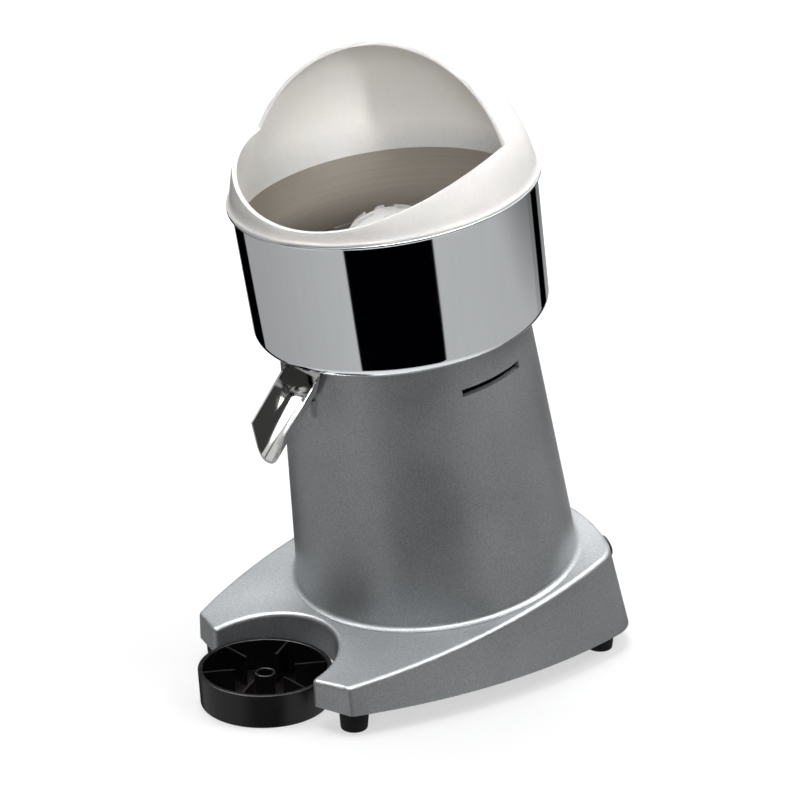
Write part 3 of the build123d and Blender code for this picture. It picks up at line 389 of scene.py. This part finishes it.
tab_brass = grained(
    "tab_brass", colour(190, 160, 90), colour(214, 186, 118),
    roughness=0.32, scale=700.0, relief=0.08, metallic=1.0,
)

NODE_FINISHES = {
    body_paint: ("base_casting", "housing"),
    plate_paint: ("bottom_plate",),
    foot_rubber: (
        "foot_front_left", "foot_front_right", "foot_rear_left", "foot_rear_right", "shaft_seal",
    ),
    screw_steel: (
        "foot_screws", "body_bolts", "motor_bolts", "fan_clip", "drive_pin",
        "capacitor_clip", "clip_screws", "block_screws",
    ),
    tray_plastic: ("drip_tray",),
    shield_alloy: ("upper_end_shield", "lower_end_shield"),
    core_steel: ("stator_core", "rotor_core"),
    winding_copper: ("winding_upper", "winding_lower"),
    bearing_steel: ("bearing_upper", "bearing_lower", "motor_shaft"),
    fan_plastic: ("cooling_fan",),
    bowl_polish: ("bowl", "bowl_sleeve", "spout"),
    strainer_steel: ("strainer",),
    reamer_plastic: ("reamer",),
    insert_plastic: ("reamer_insert",),
    guard_plastic: ("splash_guard",),
    switch_plastic: ("switch_housing", "switch_rocker"),
    tab_brass: ("switch_tabs", "terminal_screws", "earth_screw"),
    gland_plastic: ("cable_gland", "gland_nut"),
    capacitor_plastic: ("capacitor",),
    block_plastic: ("terminal_block",),
}
for finish, names in NODE_FINISHES.items():
    for name in names:
        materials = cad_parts[name].data.materials
        materials.clear()
        materials.append(finish)


# Small helpers for meshes
def arc_points(centre, radius, start, end, steps):
    """Points on an arc in a plane, such as radius and height, with angles in degrees."""
    points = []
    for step in range(steps + 1):
        angle = math.radians(start + (end - start) * step / steps)
        points.append((centre[0] + radius * math.cos(angle), centre[1] + radius * math.sin(angle)))
    return points


def curve_points(start, pull, end, steps):
    """Points on a curve that leaves start towards pull and arrives at end from it."""
    points = []
    for step in range(steps + 1):
        share = step / steps
        weights = ((1 - share) ** 2, 2 * share * (1 - share), share**2)
        points.append(tuple(
            weights[0] * a + weights[1] * b + weights[2] * c for a, b, c in zip(start, pull, end)
        ))
    return points


def join_rings(shape, first, second):
    """Faces between two closed rings with the same number of points."""
    count = len(first)
    faces = []
    for step in range(count):
        ahead = (step + 1) % count
        faces.append(shape.faces.new((first[step], first[ahead], second[ahead], second[step])))
    return faces


def soften(shape, sharp_angle, edge, segments):
    """Rounds the edges sharper than an angle and smooths all faces."""
    limit = math.radians(sharp_angle)
    sharp = [e for e in shape.edges if len(e.link_faces) == 2 and e.calc_face_angle(0.0) > limit]
    bmesh.ops.bevel(
        shape, geom=sharp, offset=edge * MM, segments=segments, profile=0.5,
        affect="EDGES", clamp_overlap=True,
    )
    for face in shape.faces:
        face.smooth = True


# Bowl: a smooth turned shell with a polished outside and a brushed inside
SHEET = 1.2
BOWL_LOW = 252.0
BOWL_CORNER = 8.0
BOWL_FOOT_RADIUS = 100.7
BOWL_TOP_RADIUS = 102.0
FLOOR_RING = 60.0
WALL_RINGS = ((101.2, 293.0), (101.6, 319.4))
WALL_TOP_RADIUS = 101.98
RIM_UP = 348.0
RIM_LOW = 345.8
RIM_RADIUS = 105.0
RIM_ROLL = 1.1
RIM_EASE = 0.4
SLEEVE_HOLE = 21.45
TURN_STEPS = 256
TURN_SHARP = 38.0


def turned_mesh(name, runs):
    """A closed mesh turned about the leaning axis; each run of points has a finish of its own."""
    shell = bmesh.new()
    rings = []
    finishes = []
    for index, run in enumerate(runs):
        for radius, up in run:
            ring = []
            for step in range(TURN_STEPS):
                angle = 2 * math.pi * step / TURN_STEPS
                place = lean_point(radius * math.cos(angle), radius * math.sin(angle), up)
                ring.append(shell.verts.new(place))
            rings.append(ring)
            finishes.append(index)
    for row, finish in enumerate(finishes):
        for face in join_rings(shell, rings[row], rings[(row + 1) % len(rings)]):
            face.material_index = finish
            face.smooth = True
    bmesh.ops.recalc_face_normals(shell, faces=shell.faces)
    mesh = bpy.data.meshes.new(name)
    shell.to_mesh(mesh)
    shell.free()
    mesh.set_sharp_from_angle(angle=math.radians(TURN_SHARP))
    return add_object(name, mesh)


def make_bowl():
    """The bowl's shell, from the sleeve's hole out, up, over the rolled rim and back inside."""
    corner = (BOWL_FOOT_RADIUS - BOWL_CORNER, BOWL_LOW + BOWL_CORNER)
    outside = [(SLEEVE_HOLE, BOWL_LOW), (FLOOR_RING, BOWL_LOW)]
    outside += arc_points(corner, BOWL_CORNER, -90.0, 0.0, steps=20)
    outside += [*WALL_RINGS, (WALL_TOP_RADIUS, RIM_LOW - RIM_EASE)]
    outside += arc_points((RIM_RADIUS - RIM_ROLL, RIM_LOW + RIM_ROLL), RIM_ROLL, -90.0, 90.0, steps=12)
    ease = (BOWL_TOP_RADIUS - SHEET + RIM_EASE, RIM_UP - RIM_EASE)
    inside = arc_points(ease, RIM_EASE, 90.0, 180.0, steps=4)
    inside += [(radius - SHEET, up) for radius, up in reversed(WALL_RINGS)]
    inside += arc_points(corner, BOWL_CORNER - SHEET, 0.0, -90.0, steps=12)
    inside += [(FLOOR_RING, BOWL_LOW + SHEET), (SLEEVE_HOLE, BOWL_LOW + SHEET)]
    bowl = turned_mesh("bowl_shell", (outside, inside))
    bowl.data.materials.append(bowl_polish)
    bowl.data.materials.append(bowl_brushed)
    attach(bowl, "bowl")
    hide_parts("bowl")


make_bowl()


# Splash guard: a moulded dome that flares out to the rim, cut open towards its own front
GUARD_TURN = math.radians(19.4)
GUARD_FRONT = ACROSS * math.sin(GUARD_TURN) - BACK * math.cos(GUARD_TURN)
GUARD_SIDE = ACROSS * math.cos(GUARD_TURN) + BACK * math.sin(GUARD_TURN)
GUARD_RADIUS = 103.0
GUARD_INNER = 100.0
GUARD_INNER_LOW = RIM_UP + 4.0
GUARD_CENTRE = RIM_UP - 9.5
GUARD_POLE = 0.99999
GUARD_SEAT = RIM_UP + 0.02
FOOT_ROLL = 1.0
FLARE_TOP = RIM_UP + 9.0
FLARE_PULL_OUT = 0.5
FLARE_PULL_UP = RIM_UP + 2.6
COLLAR_OUTER = 100.2
COLLAR_INNER = 98.2
COLLAR_TAPER = 0.1
COLLAR_TAPER_TOP = RIM_UP - 1.0
COLLAR_TAPER_LOW = RIM_UP - 4.0
COLLAR_LOW = RIM_UP - 14.5
COLLAR_ROLL = 1.0
LIP_FRONT = 8.0
LIP_RADIUS = 191.8
LIP_STEPS = 360
LIP_EDGE = 1.1
LIP_SHARP = 50.0
HOOD_FORWARD = 8.2
HOOD_RAKE = 0.32
GUARD_WELD = 0.02
GUARD_SHARP = 40.0


def dome_points(radius, low, high, steps):
    """Points up the guard's dome between two heights."""
    start = math.degrees(math.asin((low - GUARD_CENTRE) / radius))
    end = math.degrees(math.asin((high - GUARD_CENTRE) / radius))
    return arc_points((0.0, GUARD_CENTRE), radius, start, end, steps)


def guard_opening():
    """The body that the opening is cut with: the lip's round, from the hood's plane forwards."""
    shape = bmesh.new()
    near = []
    far = []
    for step in range(LIP_STEPS):
        angle = 2 * math.pi * step / LIP_STEPS
        side = LIP_RADIUS * math.sin(angle)
        high = LIP_FRONT + LIP_RADIUS - LIP_RADIUS * math.cos(angle)
        foot = lean_point(0.0, 0.0, RIM_UP + high) + GUARD_SIDE * side * MM
        near.append(shape.verts.new(foot + GUARD_FRONT * (HOOD_FORWARD - HOOD_RAKE * high) * MM))
        far.append(shape.verts.new(foot + GUARD_FRONT * 2 * GUARD_RADIUS * MM))
    shape.faces.new(near)
    shape.faces.new(far)
    join_rings(shape, near, far)
    bmesh.ops.recalc_face_normals(shape, faces=shape.faces)
    mesh = bpy.data.meshes.new("guard_opening")
    shape.to_mesh(mesh)
    shape.free()
    return add_object("guard_opening", mesh)


def make_guard():
    """The guard's shell, from its foot over the outside, then down the inside to the collar."""
    outer_top = GUARD_CENTRE + GUARD_RADIUS * GUARD_POLE
    inner_top = GUARD_CENTRE + GUARD_INNER * GUARD_POLE
    profile = [(COLLAR_OUTER, GUARD_SEAT)]
    profile += arc_points((RIM_RADIUS - FOOT_ROLL, GUARD_SEAT + FOOT_ROLL), FOOT_ROLL, -90.0, 60.0, steps=8)
    dome = dome_points(GUARD_RADIUS, FLARE_TOP, outer_top, steps=64)
    pull = (dome[0][0] + FLARE_PULL_OUT, FLARE_PULL_UP)
    profile += curve_points(profile[-1], pull, dome[0], steps=10)[1:]
    profile += dome[1:]
    profile += dome_points(GUARD_INNER, inner_top, GUARD_INNER_LOW, steps=64)
    profile += [(COLLAR_INNER + COLLAR_TAPER, COLLAR_TAPER_TOP), (COLLAR_INNER, COLLAR_TAPER_LOW)]
    collar_middle = (COLLAR_INNER + COLLAR_OUTER) / 2
    profile += arc_points((collar_middle, COLLAR_LOW + COLLAR_ROLL), COLLAR_ROLL, 180.0, 360.0, steps=8)
    guard = turned_mesh("guard_shell", (profile,))
    cutter = guard_opening()
    cut = guard.modifiers.new("opening", "BOOLEAN")
    cut.operation = "DIFFERENCE"
    cut.solver = "EXACT"
    cut.object = cutter
    depsgraph = bpy.context.evaluated_depsgraph_get()
    opened = bpy.data.meshes.new_from_object(guard.evaluated_get(depsgraph))
    guard.modifiers.clear()
    guard.data = opened
    bpy.data.objects.remove(cutter)
    shell = bmesh.new()
    shell.from_mesh(opened)
    bmesh.ops.remove_doubles(shell, verts=shell.verts, dist=GUARD_WELD * MM)
    bmesh.ops.dissolve_degenerate(shell, edges=shell.edges, dist=GUARD_WELD * MM)
    soften(shell, LIP_SHARP, LIP_EDGE, segments=4)
    shell.to_mesh(opened)
    shell.free()
    opened.set_sharp_from_angle(angle=math.radians(GUARD_SHARP))
    opened.materials.clear()
    opened.materials.append(guard_plastic)
    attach(guard, "splash_guard")
    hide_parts("splash_guard")


make_guard()


# Spout: an open trough of thin polished sheet with rounded corners, closed at its back
SPOUT_SLOPE = math.radians(38.8)
SPOUT_FOOT = lean_point(0.0, -128.0, 197.0)
SPOUT_DOWN = -BACK * math.cos(SPOUT_SLOPE) - UP * math.sin(SPOUT_SLOPE)
SPOUT_OUT = -BACK * math.sin(SPOUT_SLOPE) + UP * math.cos(SPOUT_SLOPE)
SPOUT_HALF_TOP = 17.6
SPOUT_HALF_LOW = 8.5
SPOUT_DEPTH = 15.5
SPOUT_CORNER = 13.0
SPOUT_REACH = 161.5
SPOUT_BACK = -88.7
SPOUT_TOP = BOWL_LOW - 0.05
SPOUT_UNCUT_ENDS = (-80.0, 60.0)
SPOUT_EDGE = 0.25
SPOUT_EDGE_SHARP = 60.0
SPOUT_SHARP = 35.0


def trough_points(inset):
    """The trough's section from the left wall's top round to the right wall's, set in by a thickness."""
    lean_wall = math.atan2(SPOUT_HALF_TOP - SPOUT_HALF_LOW, SPOUT_DEPTH)
    half_low = SPOUT_HALF_LOW - inset * (1 - math.sin(lean_wall)) / math.cos(lean_wall)
    radius = SPOUT_CORNER - inset
    reach = radius * math.tan((math.pi / 2 - lean_wall) / 2)
    centre = (half_low - reach, inset + radius)
    right = arc_points(centre, radius, -90.0, -math.degrees(lean_wall), steps=14)
    right.append((half_low + (SPOUT_DEPTH - inset) * math.tan(lean_wall), SPOUT_DEPTH))
    left = [(-across, high) for across, high in reversed(right)]
    return left + right


def make_spout():
    """The trough, cut off at its mouth, its back and the bowl's floor, and the plate that closes its back."""
    shape = bmesh.new()
    outer = trough_points(0.0)
    section = outer + trough_points(SHEET)[::-1]
    rows = []
    for along in SPOUT_UNCUT_ENDS:
        rows.append([
            shape.verts.new(SPOUT_FOOT + (ACROSS * across + SPOUT_OUT * high + SPOUT_DOWN * along) * MM)
            for across, high in section
        ])
    join_rings(shape, *rows)
    back_foot = lean_point(0.0, SPOUT_BACK, 0.0)
    for place, normal in (
        (Vector((0.0, (AXIS_BACK - SPOUT_REACH) * MM, 0.0)), Vector((0.0, -1.0, 0.0))),
        (back_foot, BACK),
        (lean_point(0.0, 0.0, SPOUT_TOP), UP),
    ):
        everything = shape.verts[:] + shape.edges[:] + shape.faces[:]
        result = bmesh.ops.bisect_plane(
            shape, geom=everything, plane_co=place, plane_no=normal, clear_outer=True
        )
        rim = [e for e in result["geom_cut"] if isinstance(e, bmesh.types.BMEdge)]
        bmesh.ops.edgeloop_fill(shape, edges=rim)
    plate = []
    for depth in (0.0, SHEET):
        ring = []
        for across, high in outer:
            flat = SPOUT_FOOT + (ACROSS * across + SPOUT_OUT * high) * MM
            run = (back_foot - flat).dot(BACK) / SPOUT_DOWN.dot(BACK)
            ring.append(shape.verts.new(flat + SPOUT_DOWN * run - BACK * depth * MM))
        for across in (SPOUT_HALF_TOP, -SPOUT_HALF_TOP):
            ring.append(shape.verts.new(lean_point(across, SPOUT_BACK - depth, SPOUT_TOP)))
        plate.append(ring)
    for ring in plate:
        shape.faces.new(ring)
    join_rings(shape, *plate)
    bmesh.ops.recalc_face_normals(shape, faces=shape.faces)
    soften(shape, SPOUT_EDGE_SHARP, SPOUT_EDGE, segments=2)
    mesh = bpy.data.meshes.new("spout_trough")
    shape.to_mesh(mesh)
    shape.free()
    mesh.set_sharp_from_angle(angle=math.radians(SPOUT_SHARP))
    mesh.materials.append(spout_polish)
    spout = add_object("spout_trough", mesh)
    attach(spout, "bowl")
    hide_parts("spout")


make_spout()


# Studio: white floor and background, soft lamps, and light and dark panels that only polished metal sees.
# Directions are azimuths, from the front towards the right, and heights above the horizon, in degrees.
# A ramp is a span of directions and the brightness at its ends.
DARK_SECTORS = ((16.0, 86.2), (-118.0, -91.5), (-172.5, -158.0))
DARK_SECTOR_SOFT = 0.8
DARK_HEIGHTS = (-42.0, -4.0)
DARK_HEIGHT_SOFT = 1.0
DARK_COLOUR = (0.0005, 0.0007, 0.002, 1)
GROUND_LEFT_RAMP = ((-91.0, 16.0), (0.36, 0.52))
GROUND_RIGHT_RAMP = ((86.0, 180.0), (0.02, -0.03))
GROUND_LOW_RAMP = ((-60.0, -38.0), (0.40, 0.0))
GROUND_FADE_RAMP = ((-17.0, -10.0), (1.0, 0.1))
BACK_PANEL = (-178.0, -95.0)
BACK_PANEL_SOFT = 8.0
BACK_PANEL_HEIGHTS = (-9.0, 14.0)
BACK_PANEL_HEIGHT_SOFT = 5.0
BACK_PANEL_LIGHT = 0.45
LEFT_PANEL = (-90.0, 15.0)
LEFT_PANEL_SOFT = 6.0
LEFT_PANEL_LIGHT = 0.75
REAR_PANELS = ((-200.0, -160.0), (125.0, 200.0))
REAR_PANEL_SOFT = 10.0
REAR_PANEL_LIGHT = 1.4
PANEL_RAMP = ((8.0, 20.0), (0.0, 1.0))
RING_HEIGHTS = (56.0, 66.0)
RING_SOFT = 6.0
RING_LIGHT = 17.0
ZENITH_RAMP = ((60.0, 66.0), (0.0, 0.9))
STRIPE = (-38.0, -24.0)
STRIPE_HEIGHTS = (10.0, 50.0)
STRIPE_SOFT = 3.0
STRIPE_DEPTH = 0.9
FILL_COLOUR = (0.03, 0.03, 0.03, 1)

# Floor, in metres; its glow, seen by the camera alone, grows with the distance from the middle
FLOOR_REACH = 6.0
FLOOR_COLOUR = (0.45, 0.45, 0.45, 1)
FLOOR_GLOW_RAMP = ((0.3, 1.2), (0.58, 1.0))

# Lamps: place and target in metres, size in metres, power in watts, beam in degrees
LAMPS = {
    "top_softbox": ((-0.3, 0.0, 2.2), (0.0, 0.0, 0.2), 1.6, 45.0, 180.0),
    "right_softbox": ((1.0, 0.9, 1.9), (0.0, 0.0, 0.2), 1.2, 17.0, 180.0),
    "front_softbox": ((1.48, -1.48, 1.04), (0.0, -0.02, 0.36), 1.0, 9.0, 180.0),
    "hood_softbox": ((1.35, -1.35, 1.0), (0.0, 0.0, 0.46), 0.3, 0.07, 6.0),
    "side_softbox": ((1.9, -0.5, 1.1), (-0.04, 0.0, 0.44), 0.3, 0.11, 6.0),
}


def make_world():
    """White to the camera, a dim fill to matt surfaces, and the studio's panels to polished metal."""
    world = bpy.data.worlds.new("studio")
    scene.world = world
    world.use_nodes = True
    tree = world.node_tree
    tree.nodes.clear()
    parts = add(tree, "ShaderNodeSeparateXYZ")
    feed(tree, parts.inputs[0], add(tree, "ShaderNodeTexCoord").outputs["Generated"])
    front = calc(tree, "MULTIPLY", parts.outputs[1], -1.0)
    azimuth = calc(tree, "DEGREES", calc(tree, "ARCTAN2", parts.outputs[0], front))
    height = calc(tree, "DEGREES", calc(tree, "ARCSINE", parts.outputs[2]))

    def times(first, second):
        return calc(tree, "MULTIPLY", first, second)

    def ramp(value, values, kind="SMOOTHSTEP"):
        return spread(tree, value, *values, kind)

    def inside(value, span, soft):
        low, high = span
        rise = ramp(value, ((low - soft, low + soft), (0.0, 1.0)))
        fall = ramp(value, ((high - soft, high + soft), (1.0, 0.0)))
        return times(rise, fall)

    first, second, third = (inside(azimuth, sector, DARK_SECTOR_SOFT) for sector in DARK_SECTORS)
    dark = calc(tree, "ADD", calc(tree, "ADD", first, second), third)
    dark = times(dark, inside(height, DARK_HEIGHTS, DARK_HEIGHT_SOFT))

    left = ramp(azimuth, GROUND_LEFT_RAMP, "LINEAR")
    right = ramp(azimuth, GROUND_RIGHT_RAMP, "LINEAR")
    ground = calc(tree, "ADD", calc(tree, "ADD", left, right), ramp(height, GROUND_LOW_RAMP))
    ground = times(ground, ramp(height, GROUND_FADE_RAMP))
    back_panel = times(
        inside(azimuth, BACK_PANEL, BACK_PANEL_SOFT),
        inside(height, BACK_PANEL_HEIGHTS, BACK_PANEL_HEIGHT_SOFT),
    )
    ground = calc(tree, "ADD", ground, times(back_panel, BACK_PANEL_LIGHT))

    left_panel = times(inside(azimuth, LEFT_PANEL, LEFT_PANEL_SOFT), LEFT_PANEL_LIGHT)
    rear_panel = calc(tree, "MAXIMUM", *(inside(azimuth, panel, REAR_PANEL_SOFT) for panel in REAR_PANELS))
    panels = calc(tree, "MAXIMUM", left_panel, times(rear_panel, REAR_PANEL_LIGHT))
    panels = times(panels, ramp(height, PANEL_RAMP))
    ring = times(inside(height, RING_HEIGHTS, RING_SOFT), RING_LIGHT)
    overhead = calc(tree, "MAXIMUM", ring, ramp(height, ZENITH_RAMP))
    stripe = times(inside(azimuth, STRIPE, STRIPE_SOFT), inside(height, STRIPE_HEIGHTS, STRIPE_SOFT))
    gap = calc(tree, "SUBTRACT", 1.0, times(stripe, STRIPE_DEPTH))
    sky = times(calc(tree, "MAXIMUM", panels, overhead), gap)

    shine = add(tree, "ShaderNodeVectorMath", operation="SCALE")
    feed(tree, shine.inputs[0], tint(tree, dark, WHITE, DARK_COLOUR))
    feed(tree, shine.inputs["Scale"], calc(tree, "ADD", ground, sky))
    path = add(tree, "ShaderNodeLightPath")
    plain = tint(tree, path.outputs["Is Glossy Ray"], FILL_COLOUR, shine.outputs[0])
    glow = add(tree, "ShaderNodeBackground")
    feed(tree, glow.inputs["Color"], tint(tree, path.outputs["Is Camera Ray"], plain, WHITE))
    output = add(tree, "ShaderNodeOutputWorld")
    tree.links.new(glow.outputs[0], output.inputs["Surface"])


def make_floor():
    """A white floor that fades into the background and is seen through from below."""
    mesh = bpy.data.meshes.new("floor")
    signs = ((-1, -1), (1, -1), (1, 1), (-1, 1))
    corners = [(across * FLOOR_REACH, back * FLOOR_REACH, 0) for across, back in signs]
    mesh.from_pydata(corners, [], [(0, 1, 2, 3)])
    floor = add_object("floor", mesh)
    material, tree, shader = new_finish("floor_white", 0.0, 1.0, Specular_IOR_Level=0.0)
    shader.inputs["Base Color"].default_value = FLOOR_COLOUR
    shader.inputs["Emission Color"].default_value = WHITE
    away = add(tree, "ShaderNodeVectorMath", operation="LENGTH")
    feed(tree, away.inputs[0], add(tree, "ShaderNodeTexCoord").outputs["Object"])
    glow = spread(tree, away.outputs["Value"], *FLOOR_GLOW_RAMP, "SMOOTHSTEP")
    camera_ray = add(tree, "ShaderNodeLightPath").outputs["Is Camera Ray"]
    feed(tree, shader.inputs["Emission Strength"], calc(tree, "MULTIPLY", camera_ray, glow))
    joined = add(tree, "ShaderNodeMixShader")
    feed(tree, joined.inputs["Fac"], add(tree, "ShaderNodeNewGeometry").outputs["Backfacing"])
    tree.links.new(shader.outputs[0], joined.inputs[1])
    tree.links.new(add(tree, "ShaderNodeBsdfTransparent").outputs[0], joined.inputs[2])
    output = next(node for node in tree.nodes if node.type == "OUTPUT_MATERIAL")
    tree.links.new(joined.outputs[0], output.inputs["Surface"])
    mesh.materials.append(material)
    floor.visible_glossy = False


def make_lamp(name, place, target, size, power, beam):
    """A round soft lamp that polished metal doesn't see."""
    data = bpy.data.lights.new(name, "AREA")
    data.shape = "DISK"
    data.size = size
    data.spread = math.radians(beam)
    data.energy = power
    lamp = add_object(name, data)
    aim = (Vector(target) - Vector(place)).to_track_quat("-Z", "Y")
    lamp.matrix_world = Matrix.Translation(place) @ aim.to_matrix().to_4x4()
    lamp.visible_glossy = False


place_camera()
make_world()
make_floor()
for name, values in LAMPS.items():
    make_lamp(name, *values)
